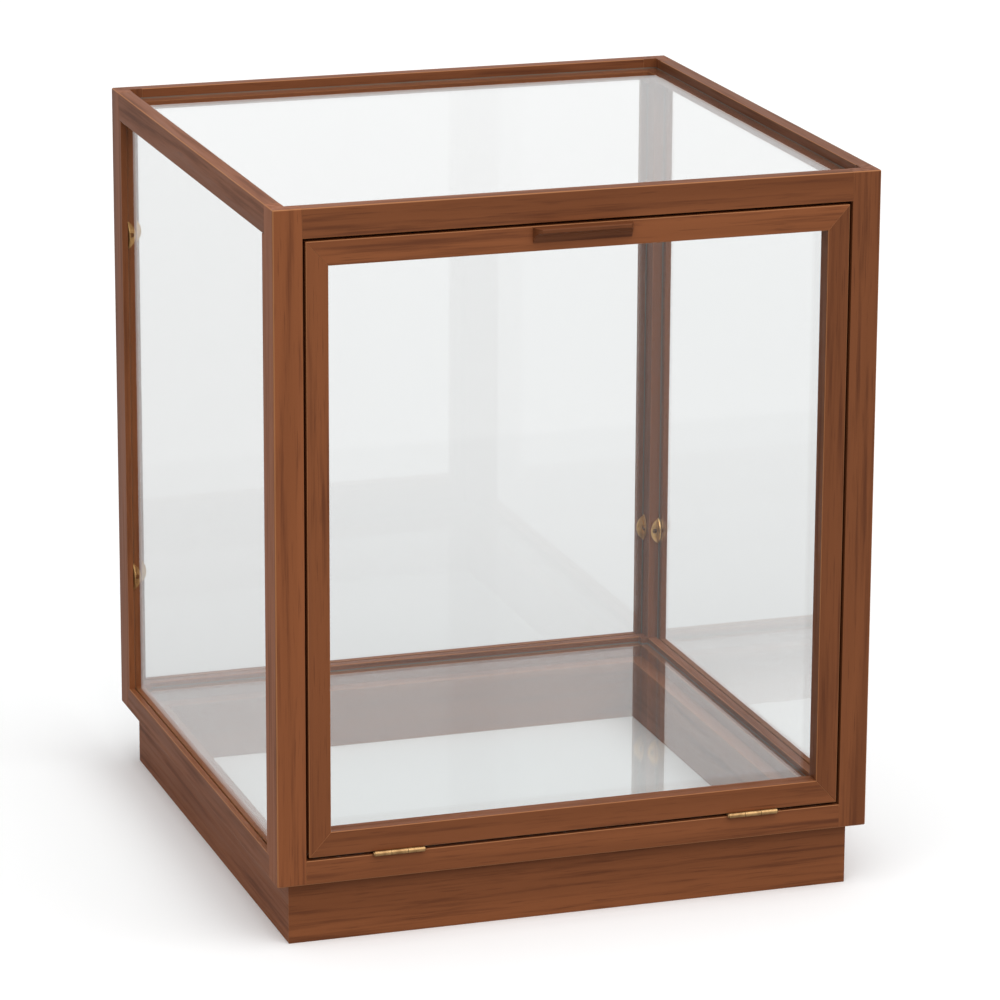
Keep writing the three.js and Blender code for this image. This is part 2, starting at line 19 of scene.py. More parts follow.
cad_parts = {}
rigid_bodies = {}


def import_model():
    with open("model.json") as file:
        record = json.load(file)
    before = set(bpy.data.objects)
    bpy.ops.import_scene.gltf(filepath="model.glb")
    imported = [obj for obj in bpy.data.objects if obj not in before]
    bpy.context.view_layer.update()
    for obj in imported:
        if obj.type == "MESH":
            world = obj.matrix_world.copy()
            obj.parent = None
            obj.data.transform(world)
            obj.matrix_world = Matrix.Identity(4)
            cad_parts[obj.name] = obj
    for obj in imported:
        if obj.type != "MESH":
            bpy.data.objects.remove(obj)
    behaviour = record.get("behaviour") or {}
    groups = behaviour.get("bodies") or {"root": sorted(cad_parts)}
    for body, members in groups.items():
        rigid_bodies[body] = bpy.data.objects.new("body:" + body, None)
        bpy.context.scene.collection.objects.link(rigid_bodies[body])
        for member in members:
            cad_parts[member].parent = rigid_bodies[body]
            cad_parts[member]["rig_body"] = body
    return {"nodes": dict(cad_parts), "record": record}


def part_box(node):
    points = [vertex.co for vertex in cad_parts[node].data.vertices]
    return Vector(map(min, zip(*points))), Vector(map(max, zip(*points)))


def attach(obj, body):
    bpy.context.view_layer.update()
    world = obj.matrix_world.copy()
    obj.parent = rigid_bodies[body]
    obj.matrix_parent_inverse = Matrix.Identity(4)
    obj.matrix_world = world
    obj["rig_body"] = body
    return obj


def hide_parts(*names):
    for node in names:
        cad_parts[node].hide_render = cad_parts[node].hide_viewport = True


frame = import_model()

log = logging.getLogger("display_case")

MM = 0.001
CASE_BODY = "case"
DOOR_BODY = "door"

SHARP_ANGLE = math.radians(40)  # an edge that bends more is rounded
SMOOTH_ANGLE = math.radians(35)  # an edge that bends less is shaded smoothly
SAME_PLANE = math.radians(0.5)  # faces that bend less become one
SAME_POINT = 0.002 * MM  # points that are closer become one
ALONG_GRAIN = 0.99  # cosine from which an edge counts as a long arris
WOOD_SEGMENTS = 3  # faces across a rounded wooden edge
METAL_SEGMENTS = 2  # faces across a rounded metal edge
PANE_SEGMENTS = 1  # faces across a pane's blunted edge
ROUND_SIDES = 32

USUAL_NOISE = (0.3, 0.7)  # where most of a noise pattern's values lie
SQUARE_FACE = 0.99  # the largest part of a normal, where a face lies square
ARRIS_FACE = 0.8  # the same where it is well over an arris

Colour = tuple[float, float, float, float]
Socket = bpy.types.NodeSocket
Piece = bpy.types.Object
Material = bpy.types.Material

EVENLY = Vector((1.0, 1.0, 1.0)).freeze()
ORIGIN = Vector((0.0, 0.0, 0.0)).freeze()


class Axis(Enum):
    """The direction in which a piece's grain runs."""

    X = 0
    Y = 1
    Z = 2


def linear(red: int, green: int, blue: int) -> Colour:
    """Turns a colour as seen on a screen, 0 to 255, into the linear one that a shader takes.

    Args:
        red: Red as seen.
        green: Green as seen.
        blue: Blue as seen.

    Returns:
        The linear colour with full alpha.
    """
    def channel(value: int) -> float:
        """Undoes the sRGB curve for one channel."""
        share = value / 255
        return share / 12.92 if share <= 0.04045 else ((share + 0.055) / 1.055) ** 2.4

    return channel(red), channel(green), channel(blue), 1.0


def toned(colour: Colour, tone: float) -> Colour:
    """Makes a linear colour lighter or darker.

    Args:
        colour: The colour, with alpha last.
        tone: What its channels are multiplied by.

    Returns:
        The new colour.
    """
    red, green, blue, alpha = colour
    return red * tone, green * tone, blue * tone, alpha


@dataclass(frozen=True)
class Figure:
    """One layer of a surface's pattern: how fine it is, and where and how strongly it shows."""

    scale: float
    detail: float
    first: float = USUAL_NOISE[0]  # the value from which it shows
    full: float = USUAL_NOISE[1]  # the value from which it shows as strongly as it ever does
    most: float = 1.0  # how strongly that is
    distortion: float = 0.0
    roughness: float = 0.5


class Board:
    """A node tree with short calls for what the finishes have in common."""

    def __init__(self, tree: bpy.types.NodeTree) -> None:
        """Takes over a node tree and empties it.

        Args:
            tree: The node tree of a material or of the world.
        """
        self.tree = tree
        tree.nodes.clear()

    def add(self, kind: str, **values: object) -> bpy.types.Node:
        """Adds a node.

        Args:
            kind: Its type name, as Blender spells it.
            **values: Properties of the node, such as operation.

        Returns:
            The new node.
        """
        node = self.tree.nodes.new(kind)
        for name, value in values.items():
            setattr(node, name, value)
        return node

    def feed(self, socket: Socket, value: object) -> None:
        """Gives an input a value, or joins it to another node's output.

        Args:
            socket: The input.
            value: A number, a colour or an output socket.
        """
        if isinstance(value, Socket):
            self.tree.links.new(value, socket)
        else:
            socket.default_value = value

    def math(self, operation: str, *values: object) -> Socket:
        """Works out a number from numbers.

        Args:
            operation: The Math node's operation.
            *values: Its inputs in order.

        Returns:
            The result's socket.
        """
        node = self.add("ShaderNodeMath", operation=operation)
        for socket, value in zip(node.inputs, values):
            self.feed(socket, value)
        return node.outputs[0]

    def remap(
        self, value: object, low: float, high: float, to_low: float, to_high: float
    ) -> Socket:
        """Carries a number smoothly from one range to another.

        Args:
            value: The number.
            low: Where the first range starts.
            high: Where the first range ends.
            to_low: Result at low.
            to_high: Result at high.

        Returns:
            The result's socket.
        """
        node = self.add("ShaderNodeMapRange", interpolation_type="SMOOTHSTEP")
        for socket, number in zip(node.inputs, (value, low, high, to_low, to_high)):
            self.feed(socket, number)
        return node.outputs[0]

    def by_ray(self, usual: float, kinds: dict[str, object]) -> Socket:
        """Gives a number that differs for some kinds of ray, as a studio's cards would make it.

        Args:
            usual: The number for every other ray.
            kinds: The number for each kind, by the name of its Light Path output. Where a ray
                is of two kinds, the later one counts.

        Returns:
            The number's socket.
        """
        path = self.add("ShaderNodeLightPath")
        number = self.math("ADD", usual, 0.0)
        for kind, value in kinds.items():
            change = self.math("SUBTRACT", value, number)
            number = self.math("ADD", number, self.math("MULTIPLY", path.outputs[kind], change))
        return number

    def mix(self, share: object, first: object, second: object) -> Socket:
        """Mixes two colours.

        Args:
            share: How much of the second, 0 to 1.
            first: The first colour.
            second: The second colour.

        Returns:
            The mixed colour's socket.
        """
        node = self.add("ShaderNodeMix", data_type="RGBA")
        self.feed(node.inputs["Factor"], share)
        self.feed(node.inputs["A"], first)
        self.feed(node.inputs["B"], second)
        return node.outputs["Result"]

    def noise(self, place: Socket, figure: Figure) -> Socket:
        """Adds a noise pattern.

        Args:
            place: The coordinates that it reads.
            figure: The pattern.

        Returns:
            The pattern's socket.
        """
        node = self.add("ShaderNodeTexNoise")
        self.feed(node.inputs["Vector"], place)
        self.feed(node.inputs["Scale"], figure.scale)
        self.feed(node.inputs["Detail"], figure.detail)
        self.feed(node.inputs["Roughness"], figure.roughness)
        self.feed(node.inputs["Distortion"], figure.distortion)
        return node.outputs["Fac"]

    def shown(self, pattern: Socket, figure: Figure) -> Socket:
        """Tells how strongly a noise pattern shows at each place.

        Args:
            pattern: The pattern's socket.
            figure: The pattern.

        Returns:
            The strength's socket.
        """
        return self.remap(pattern, figure.first, figure.full, 0.0, figure.most)

    def stretched(self, scale: Vector = EVENLY, offset: Vector = ORIGIN) -> Socket:
        """Gives Object coordinates that are scaled and moved.

        Args:
            scale: Scale along each axis.
            offset: Where the pattern starts, in metres.

        Returns:
            The coordinates' socket.
        """
        place = self.add("ShaderNodeTexCoord")
        mapping = self.add("ShaderNodeMapping", vector_type="POINT")
        moved = self.add("ShaderNodeVectorMath", operation="ADD")
        moved.inputs[1].default_value = offset
        self.feed(moved.inputs[0], place.outputs["Object"])
        self.feed(mapping.inputs["Vector"], moved.outputs[0])
        mapping.inputs["Scale"].default_value = scale
        return mapping.outputs[0]

    def slanting(self, most: float) -> Socket:
        """Tells where a squared piece's surface turns over an arris.

        Args:
            most: The result halfway over the arris; it is 0 on the flat faces.

        Returns:
            The result's socket.
        """
        normal = self.add("ShaderNodeTexCoord").outputs["Normal"]
        size = self.add("ShaderNodeVectorMath", operation="ABSOLUTE")
        self.feed(size.inputs[0], normal)
        parts = self.add("ShaderNodeSeparateXYZ")
        self.feed(parts.inputs[0], size.outputs[0])
        squareness = self.math("MAXIMUM", parts.outputs["X"], parts.outputs["Y"])
        squareness = self.math("MAXIMUM", squareness, parts.outputs["Z"])
        return self.remap(squareness, ARRIS_FACE, SQUARE_FACE, most, 0.0)

    def bump(self, shader: bpy.types.Node, height: Socket, strength: float, depth: float) -> None:
        """Gives a shader's surface its relief.

        Args:
            shader: The shader node.
            height: The pattern that is its relief.
            strength: How much of it shows, 0 to 1.
            depth: Depth of the relief in metres.
        """
        bump = self.add("ShaderNodeBump")
        self.feed(bump.inputs["Strength"], strength)
        self.feed(bump.inputs["Distance"], depth)
        self.feed(bump.inputs["Height"], height)
        self.feed(shader.inputs["Normal"], bump.outputs[0])

    def close(self, shader: bpy.types.Node, output: str = "ShaderNodeOutputMaterial") -> None:
        """Joins the last shader to the output.

        Args:
            shader: The shader node.
            output: The output's type name.
        """
        self.feed(self.add(output).inputs["Surface"], shader.outputs[0])


def new_material(name: str) -> tuple[Material, Board]:
    """Starts a material.

    Args:
        name: The material's name.

    Returns:
        The material and its empty node board.
    """
    material = bpy.data.materials.new(name)
    material.use_nodes = True
    return material, Board(material.node_tree)


# ---------------------------------------------------------------------- finishes


@dataclass(frozen=True)
class Walnut:
    """Straight-grained wood, stained walnut and lacquered to a satin."""

    light: Colour = linear(138, 81, 47)
    middle: Colour = linear(119, 68, 38)
    dark: Colour = linear(86, 45, 25)
    # painted highlight: the lighter colour drawn over the arrises, where their rounding would
    # catch the light
    arris_highlight_colour: Colour = linear(182, 124, 80)
    bands: Figure = Figure(scale=30.0, detail=3.0, first=0.35, full=0.68, distortion=0.6)
    streaks: Figure = Figure(
        scale=210.0, detail=5.0, first=0.48, full=0.72, most=0.75, roughness=0.6
    )
    pores: Figure = Figure(scale=900.0, detail=2.0, first=0.58, full=0.72, most=0.45)
    along: float = 0.035  # scale along the grain, against 1 across it
    gloss: float = 0.17
    roughness: tuple[float, float] = (0.46, 0.6)
    relief: float = 0.05 * MM
    relief_strength: float = 0.6
    streak_relief: float = 0.5

    def material(
        self, name: str, grain: Axis, start: Vector, tone: float, arris_highlight: float
    ) -> Material:
        """Makes the wood of one board.

        Args:
            name: The material's name.
            grain: The direction in which the grain runs.
            start: Where the figure starts, so that no two boards are alike.
            tone: How light the board is drawn against the usual: partly its own tone, partly
                painted light and shade.
            arris_highlight: How strongly its arrises are drawn lighter as a painted highlight, 0
                to 1.

        Returns:
            The material.
        """
        material, board = new_material(name)
        scale = EVENLY.copy()
        scale[grain.value] = self.along
        place = board.stretched(scale, start)
        bands = board.noise(place, self.bands)
        streaks = board.noise(place, self.streaks)
        pores = board.noise(place, self.pores)

        light, dark = toned(self.light, tone), toned(self.dark, tone)
        colour = board.mix(board.shown(bands, self.bands), toned(self.middle, tone), light)
        colour = board.mix(board.shown(streaks, self.streaks), colour, dark)
        colour = board.mix(board.shown(pores, self.pores), colour, dark)
        # painted highlight: the surface is drawn lighter where it turns over an arris
        colour = board.mix(board.slanting(arris_highlight), colour, self.arris_highlight_colour)

        shader = board.add("ShaderNodeBsdfPrincipled")
        shader.inputs["Specular IOR Level"].default_value = self.gloss
        board.feed(shader.inputs["Base Color"], colour)
        rough = board.remap(streaks, *USUAL_NOISE, *self.roughness)
        board.feed(shader.inputs["Roughness"], rough)
        depth = board.math("ADD", board.math("MULTIPLY", streaks, self.streak_relief), pores)
        board.bump(shader, depth, self.relief_strength, self.relief)
        board.close(shader)
        return material


@dataclass(frozen=True)
class Metal:
    """Solid metal with faint wiping marks and a little tarnish."""

    bright: Colour
    dull: Colour
    roughness: tuple[float, float]
    tarnish: Figure = Figure(scale=160.0, detail=4.0, first=0.4, full=0.75, most=0.8)
    marks: Figure = Figure(scale=900.0, detail=3.0)
    wiped: Vector = Vector((1.0, 0.25, 1.0))  # scale of the pattern along each axis
    relief: float = 0.01 * MM
    relief_strength: float = 0.3

    def material(self, name: str) -> Material:
        """Makes the metal.

        Args:
            name: The material's name.

        Returns:
            The material.
        """
        material, board = new_material(name)
        place = board.stretched(self.wiped)
        tarnish = board.noise(place, self.tarnish)
        marks = board.noise(place, self.marks)
        shader = board.add("ShaderNodeBsdfPrincipled")
        shader.inputs["Metallic"].default_value = 1.0
        colour = board.mix(board.shown(tarnish, self.tarnish), self.bright, self.dull)
        board.feed(shader.inputs["Base Color"], colour)
        rough = board.remap(marks, *USUAL_NOISE, *self.roughness)
        board.feed(shader.inputs["Roughness"], rough)
        board.bump(shader, marks, self.relief_strength, self.relief)
        board.close(shader)
        return material


@dataclass(frozen=True)
class ClearGlass:
    """Clear float glass that lamps shine through."""

    tint: Colour = linear(250, 251, 251)
    lamp_tint: Colour = linear(251, 252, 252)
    least_tint: float = 0.85  # the share of the tint that is left where the glass is clearest
    haze: Figure = Figure(scale=6.0, detail=1.0)
    bend: float = 1.5
    wave: float = 0.002 * MM
    wave_strength: float = 0.2

    def material(self, name: str) -> Material:
        """Makes the glass.

        Args:
            name: The material's name.

        Returns:
            The material.
        """
        material, board = new_material(name)
        shader = board.add("ShaderNodeBsdfPrincipled")
        shader.inputs["Transmission Weight"].default_value = 1.0
        shader.inputs["Roughness"].default_value = 0.0
        shader.inputs["IOR"].default_value = self.bend
        haze = board.noise(board.stretched(), self.haze)
        clearest = tuple(1 - (1 - channel) * self.least_tint for channel in self.tint)
        board.feed(shader.inputs["Base Color"], board.mix(haze, self.tint, clearest))
        board.bump(shader, haze, self.wave_strength, self.wave)
        through = board.add("ShaderNodeBsdfTransparent")
        through.inputs["Color"].default_value = self.lamp_tint
        path = board.add("ShaderNodeLightPath")
        lit = board.math("MAXIMUM", path.outputs["Is Shadow Ray"], path.outputs["Is Diffuse Ray"])
        both = board.add("ShaderNodeMixShader")
        for socket, value in zip(both.inputs, (lit, shader.outputs[0], through.outputs[0])):
            board.feed(socket, value)
        board.close(both)
        return material


@dataclass(frozen=True)
class GroundEdge:
    """The matt, greenish grey of a pane's ground edge."""

    deep: Colour = linear(74, 84, 78)
    pale: Colour = linear(104, 114, 107)
    grit: Figure = Figure(scale=1500.0, detail=2.0)
    roughness: tuple[float, float] = (0.5, 0.7)

    def material(self, name: str) -> Material:
        """Makes the ground edge.

        Args:
            name: The material's name.

        Returns:
            The material.
        """
        material, board = new_material(name)
        grit = board.noise(board.stretched(), self.grit)
        shader = board.add("ShaderNodeBsdfPrincipled")
        board.feed(shader.inputs["Base Color"], board.mix(grit, self.deep, self.pale))
        rough = board.remap(grit, *USUAL_NOISE, *self.roughness)
        board.feed(shader.inputs["Roughness"], rough)
        board.close(shader)
        return material


BRASS = Metal(bright=linear(204, 164, 106), dull=linear(160, 122, 74), roughness=(0.3, 0.46))
DULL_BRASS = Metal(bright=linear(176, 142, 98), dull=linear(132, 100, 66), roughness=(0.34, 0.5))
# the screws' brass, drawn much darker than the leaves and clips so that each head shows as a dark
# spot
DARK_SCREW_BRASS = Metal(bright=linear(110, 80, 50), dull=linear(72, 50, 33), roughness=(0.36, 0.5))
STEEL = Metal(bright=linear(196, 198, 200), dull=linear(168, 170, 172), roughness=(0.22, 0.34))


def dress(piece: Piece, material: Material) -> None:
    """Gives a piece one material all over.

    Args:
        piece: The piece.
        material: Its material.
    """
    piece.data.materials.clear()
    piece.data.materials.append(material)


# ---------------------------------------------------------------------- modelling


def pick(piece: Piece) -> None:
    """Selects one piece alone and makes it active.

    Args:
        piece: The piece.
    """
    bpy.ops.object.select_all(action="DESELECT")
    piece.select_set(True)
    bpy.context.view_layer.objects.active = piece


def apply_modifiers(piece: Piece) -> None:
    """Makes a piece's modifiers part of its mesh.

    Args:
        piece: The piece.
    """
    pick(piece)
    for modifier in list(piece.modifiers):
        bpy.ops.object.modifier_apply(modifier=modifier.name)


def cut(piece: Piece, cutter: Piece) -> None:
    """Cuts one piece out of another and throws the cutter away.

    Args:
        piece: What is cut.
        cutter: What cuts it.
    """
    boolean = piece.modifiers.new("cut", "BOOLEAN")
    boolean.operation = "DIFFERENCE"
    boolean.object = cutter
    apply_modifiers(piece)
    bpy.data.objects.remove(cutter)


def shade(piece: Piece) -> None:
    """Merges a piece's doubled points, and shades it smoothly with its large faces kept flat.

    Args:
        piece: The piece.
    """
    pick(piece)
    bpy.ops.object.mode_set(mode="EDIT")
    bpy.ops.mesh.select_all(action="SELECT")
    bpy.ops.mesh.remove_doubles(threshold=SAME_POINT)
    bpy.ops.object.mode_set(mode="OBJECT")
    bpy.ops.object.shade_smooth_by_angle(angle=SMOOTH_ANGLE)
    weighted = piece.modifiers.new("flat faces", "WEIGHTED_NORMAL")
    weighted.keep_sharp = True
    apply_modifiers(piece)


def ease(piece: Piece, width: float, segments: int) -> None:
    """Rounds a piece's sharp edges and shades it smoothly.

    Args:
        piece: The piece.
        width: How far the rounding reaches from an edge, in metres.
        segments: How many faces each rounding has.
    """
    bevel = piece.modifiers.new("ease", "BEVEL")
    bevel.limit_method = "ANGLE"
    bevel.angle_limit = SHARP_ANGLE
    bevel.width = width
    bevel.segments = segments
    apply_modifiers(piece)
    shade(piece)


def ease_along(piece: Piece, grain: Axis, width: float, end_share: float) -> None:
    """Rounds a wooden piece's long arrises well and those at its ends only a little.

    Args:
        piece: The piece.
        grain: The direction of the long arrises.
        width: How far the rounding of a long arris reaches, in metres.
        end_share: How much of that an arris at an end gets.
    """
    mesh = piece.data
    bpy.ops.object.mode_set(mode="EDIT")
    bpy.ops.mesh.select_mode(type="EDGE")
    bpy.ops.mesh.select_all(action="DESELECT")
    bpy.ops.mesh.edges_select_sharp(sharpness=SHARP_ANGLE)
    bpy.ops.object.mode_set(mode="OBJECT")
    weights = mesh.attributes.new("bevel_weight_edge", "FLOAT", "EDGE")
    for edge, weight in zip(mesh.edges, weights.data):
        start, end = (mesh.vertices[index].co for index in edge.vertices)
        along = abs((end - start).normalized()[grain.value])
        share = 1.0 if along > ALONG_GRAIN else end_share
        weight.value = share if edge.select else 0.0
    bevel = piece.modifiers.new("ease", "BEVEL")
    bevel.limit_method = "WEIGHT"
    bevel.width = width
    bevel.segments = WOOD_SEGMENTS
    apply_modifiers(piece)
    mesh.attributes.remove(mesh.attributes["bevel_weight_edge"])
    shade(piece)


def copy_of(node: str) -> Piece:
    """Copies a node of the frame as one connected mesh, ready to be reshaped.

    Args:
        node: The node's name.

    Returns:
        The copy, which stands for the node and rides on its body.
    """
    source = frame["nodes"][node]
    piece = bpy.data.objects.new(f"{node}_finished", source.data.copy())
    bpy.context.scene.collection.objects.link(piece)
    piece.hide_render = False
    pick(piece)
    bpy.ops.object.mode_set(mode="EDIT")
    bpy.ops.mesh.select_all(action="SELECT")
    bpy.ops.mesh.remove_doubles(threshold=SAME_POINT)
    bpy.ops.mesh.dissolve_limited(angle_limit=SAME_PLANE)
    bpy.ops.mesh.customdata_custom_splitnormals_clear()
    bpy.ops.object.mode_set(mode="OBJECT")
    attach(piece, source["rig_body"])
    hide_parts(node)
    return piece


def cone(foot_radius: float, top_radius: float, height: float) -> Piece:
    """Makes a cut-off cone round the origin.

    Args:
        foot_radius: Radius at its foot, in metres.
        top_radius: Radius at its top, in metres.
        height: Its height in metres.

    Returns:
        The cone.
    """
    bpy.ops.object.select_all(action="DESELECT")
    bpy.ops.mesh.primitive_cone_add(
        vertices=ROUND_SIDES, radius1=foot_radius, radius2=top_radius, depth=height
    )
    return bpy.context.object


@dataclass(frozen=True)
class Screw:
    """The head of a slotted screw."""

    foot_radius: float
    top_radius: float
    height: float
    slot_width: float
    easing: float = 0.06 * MM
    slot_length: float = 3.0  # in radii of the head, so that the slot runs right across

    def build(self, name: str) -> Piece:
        """Makes the head with its slot, its top at the origin and facing up.

        Args:
            name: The piece's name.

        Returns:
            The head.
        """
        head = cone(self.foot_radius, self.top_radius, self.height)
        head.name = name
        head.location.z = -self.height / 2
        pick(head)
        bpy.ops.object.transform_apply()
        bpy.ops.mesh.primitive_cube_add(size=1.0)
        slot = bpy.context.object
        length = self.slot_length * max(self.foot_radius, self.top_radius)
        slot.scale = (length, self.slot_width, self.height)
        pick(slot)
        bpy.ops.object.transform_apply()
        cut(head, slot)
        ease(head, self.easing, METAL_SEGMENTS)
        return head


def set_on(piece: Piece, place: Vector, facing: Vector, turn: float) -> None:
    """Turns a piece's top to face a direction and sets it down, with its place kept in its mesh.

    Args:
        piece: The piece, with its top at the origin and facing up.
        place: Where its top goes.
        facing: The direction that its top faces.
        turn: How far it is turned about that direction, in radians.
    """
    stand = facing.to_track_quat("Z", "X").to_matrix().to_4x4()
    piece.matrix_world = Matrix.Translation(place) @ stand @ Matrix.Rotation(turn, 4, "Z")
    pick(piece)
    bpy.ops.object.transform_apply()


# ---------------------------------------------------------------------- sub-assemblies


def nodes_of(slot: str) -> list[str]:
    """Lists the nodes that take one of the record's finishes.

    Args:
        slot: The finish's slot.

    Returns:
        Their names, in order.
    """
    rows = frame["record"]["subparts"]
    return sorted(row["node"] for row in rows if row["material_slot"] == slot)


@dataclass
class WoodenFrame:
    """All the wooden members, each with eased edges and a board of its own."""

    finish: Walnut = Walnut()
    easing: float = 0.6 * MM
    end_share: float = 0.3
    # how strongly the arrises get their painted highlight, and the members that get none
    arris_highlight: float = 0.8
    without_arris_highlight: tuple[str, ...] = ("door_pull",)
    shift_per_board: Vector = Vector((0.37, 0.53, 0.71))
    # how light each board is drawn: partly the boards' own differing tone, partly painted light
    # and shade, such as the darker door pull and right top rail and the lighter left plinth
    tones_and_painted_light: dict[str, float] = field(default_factory=lambda: {
        "post_front_left": 1.22,
        "post_front_right": 0.9,
        "door_stile_left": 1.05,
        "door_stile_right": 0.88,
        "door_rail_top": 1.08,
        "door_rail_bottom": 0.92,
        "top_rail_left": 0.9,
        "top_rail_right": 0.68,
        "plinth_left": 1.15,
        "door_pull": 0.8,
    })

    def grain_of(self, node: str) -> Axis:
        """Finds the direction of a member's grain, which is its longest one.

        Args:
            node: The member's name.

        Returns:
            The direction.
        """
        low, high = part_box(node)
        size = high - low
        return Axis(max(range(3), key=lambda axis: size[axis]))

    def build(self) -> None:
        """Finishes every wooden member."""
        for number, node in enumerate(nodes_of("walnut")):
            grain = self.grain_of(node)
            start = self.shift_per_board * (number + 1)
            tone = self.tones_and_painted_light.get(node, 1.0)
            member = copy_of(node)
            ease_along(member, grain, self.easing, self.end_share)
            # the painted arris highlight, left off the door pull
            arris_highlight = 0.0 if node in self.without_arris_highlight else self.arris_highlight
            dress(member, self.finish.material(f"walnut_{node}", grain, start, tone, arris_highlight))
            log.info("%s: walnut, grain along %s", node, grain.name)


@dataclass
class Glazing:
    """The clear sheets, each with ground edges."""

    finish: ClearGlass = ClearGlass()
    edge_finish: GroundEdge = GroundEdge()
    easing: float = 0.1 * MM
    edge_slant: float = 0.5  # a face whose normal lies less along the thickness is an edge

    def build(self) -> None:
        """Finishes every pane."""
        glass = self.finish.material("clear_glass")
        edge = self.edge_finish.material("ground_edge")
        for node in nodes_of("glass"):
            pane = copy_of(node)
            ease(pane, self.easing, PANE_SEGMENTS)
            dress(pane, glass)
            pane.data.materials.append(edge)
            low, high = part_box(node)
            size = high - low
            thin = min(range(3), key=lambda axis: size[axis])
            for face in pane.data.polygons:
                is_edge = abs(face.normal[thin]) < self.edge_slant
                face.material_index = int(is_edge)
            log.info("%s: clear glass", node)


@dataclass
class Hinge:
    """One brass butt hinge: two leaves with countersunk screws, and a pin."""

    name: str
    easing: float = 0.04 * MM
    screw_spacing: float = 20 * MM
    screw_depth: float = 7.5 * MM
    sink_radius: float = 2.1 * MM
    shank_radius: float = 1.2 * MM
    slot_width: float = 0.5 * MM
    slot_turn: float = 0.5
    leaf_play: float = 0.05 * MM  # from a leaf to the wood, and to halfway between the leaves
    overcut: float = 0.02 * MM  # how much larger a countersink is than its screw

    def build(self, brass: Material, screw: Material) -> None:
        """Finishes the hinge.

        Args:
            brass: The metal of its leaves and pin.
            screw: The metal of its screws.
        """
        low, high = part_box(f"hinge_{self.name}_pin")
        axis = (low + high) / 2
        below = axis.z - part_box("bottom_rail_front")[1].z - 2 * self.leaf_play
        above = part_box("door_rail_bottom")[0].z - axis.z - 2 * self.leaf_play
        self.make_leaf(f"hinge_{self.name}_case_leaf", CASE_BODY, axis, below, 1.0, brass, screw)
        self.make_leaf(f"hinge_{self.name}_door_leaf", DOOR_BODY, axis, above, -1.0, brass, screw)
        pin = copy_of(f"hinge_{self.name}_pin")
        ease(pin, self.easing, METAL_SEGMENTS)
        dress(pin, brass)

    def make_leaf(
        self,
        node: str,
        body: str,
        axis: Vector,
        thickness: float,
        up: float,
        brass: Material,
        screw: Material,
    ) -> None:
        """Finishes one leaf and fits its screws.

        Args:
            node: The leaf's node.
            body: The body that it is screwed to.
            axis: The middle of the hinge's pin.
            thickness: How thick the leaf is, in metres.
            up: 1 where the screws' heads face up while the door is closed, or -1.
            brass: The metal of the leaf.
            screw: The metal of the screws.
        """
        leaf = copy_of(node)
        ease(leaf, self.easing, METAL_SEGMENTS)
        facing = Vector((0.0, 0.0, up))
        kind = Screw(self.shank_radius, self.sink_radius, thickness, self.slot_width)
        place = axis + Vector((0.0, self.screw_depth, -up * self.leaf_play))
        for number, side in enumerate((-1, 1), start=1):
            place.x = axis.x + side * self.screw_spacing / 2
            self.sink_screw(leaf, place, facing, thickness)
            head = kind.build(f"{node}_screw_{number}")
            set_on(head, place, facing, self.slot_turn * number)
            dress(head, screw)
            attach(head, body)
        shade(leaf)
        dress(leaf, brass)
        log.info("%s: brass, two countersunk screws", node)

    def sink_screw(self, leaf: Piece, place: Vector, facing: Vector, thickness: float) -> None:
        """Cuts the countersunk hole of one screw.

        Args:
            leaf: The leaf.
            place: Where the top of the screw's head goes.
            facing: The direction that the head faces.
            thickness: How thick the leaf is, in metres.
        """
        sink = cone(self.shank_radius, self.sink_radius + self.overcut, thickness + self.overcut)
        sink.location.z = (self.overcut - thickness) / 2
        pick(sink)
        bpy.ops.object.transform_apply()
        set_on(sink, place, facing, 0.0)
        cut(leaf, sink)


@dataclass
class Clip:
    """A folded brass clip that holds a pane in its rebate, with its screw."""

    node: str
    easing: float = 0.15 * MM
    leg_thickness: float = 0.8 * MM
    head_radius: float = 1.75 * MM
    head_taper: float = 0.8
    head_height: float = 0.7 * MM
    slot_width: float = 0.45 * MM

    def build(self, brass: Material, screw: Material, turn: float) -> None:
        """Finishes the clip and fits its screw to the leg that lies on the post.

        Args:
            brass: The clip's metal.
            screw: The screw's metal.
            turn: How far the screw's slot is turned, in radians.
        """
        clip = copy_of(self.node)
        ease(clip, self.easing, METAL_SEGMENTS)
        dress(clip, brass)
        low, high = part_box(self.node)
        place = (low + high) / 2
        lift = self.leg_thickness + self.head_height
        if "side_pane" in self.node:
            facing = Vector((0.0, -1.0, 0.0))
            place.y = high.y - lift
        else:
            facing = Vector((-math.copysign(1.0, place.x), 0.0, 0.0))
            place.x = low.x + lift if facing.x > 0 else high.x - lift
        top_radius = self.head_taper * self.head_radius
        kind = Screw(self.head_radius, top_radius, self.head_height, self.slot_width)
        head = kind.build(f"{self.node}_screw")
        set_on(head, place, facing, turn)
        dress(head, screw)
        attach(head, CASE_BODY)
        log.info("%s: brass, one screw", self.node)


@dataclass
class Fittings:
    """The brass hinges and clips, and the catch."""

    first_turn: float = 0.4
    turn_per_clip: float = 0.7

    def build(self) -> None:
        """Finishes every metal piece."""
        brass = BRASS.material("satin_brass")
        hinge_brass = DULL_BRASS.material("dull_brass")
        screw = DARK_SCREW_BRASS.material("dark_screw_brass")
        for name in ("left", "right"):
            Hinge(name).build(hinge_brass, screw)
        clips = [node for node in nodes_of("brass") if node.startswith("clip")]
        for number, node in enumerate(clips):
            Clip(node).build(brass, screw, self.first_turn + self.turn_per_clip * number)
        steel = STEEL.material("nickel_plate")
        for node in nodes_of("steel"):
            dress(frame["nodes"][node], steel)


# ---------------------------------------------------------------------- studio


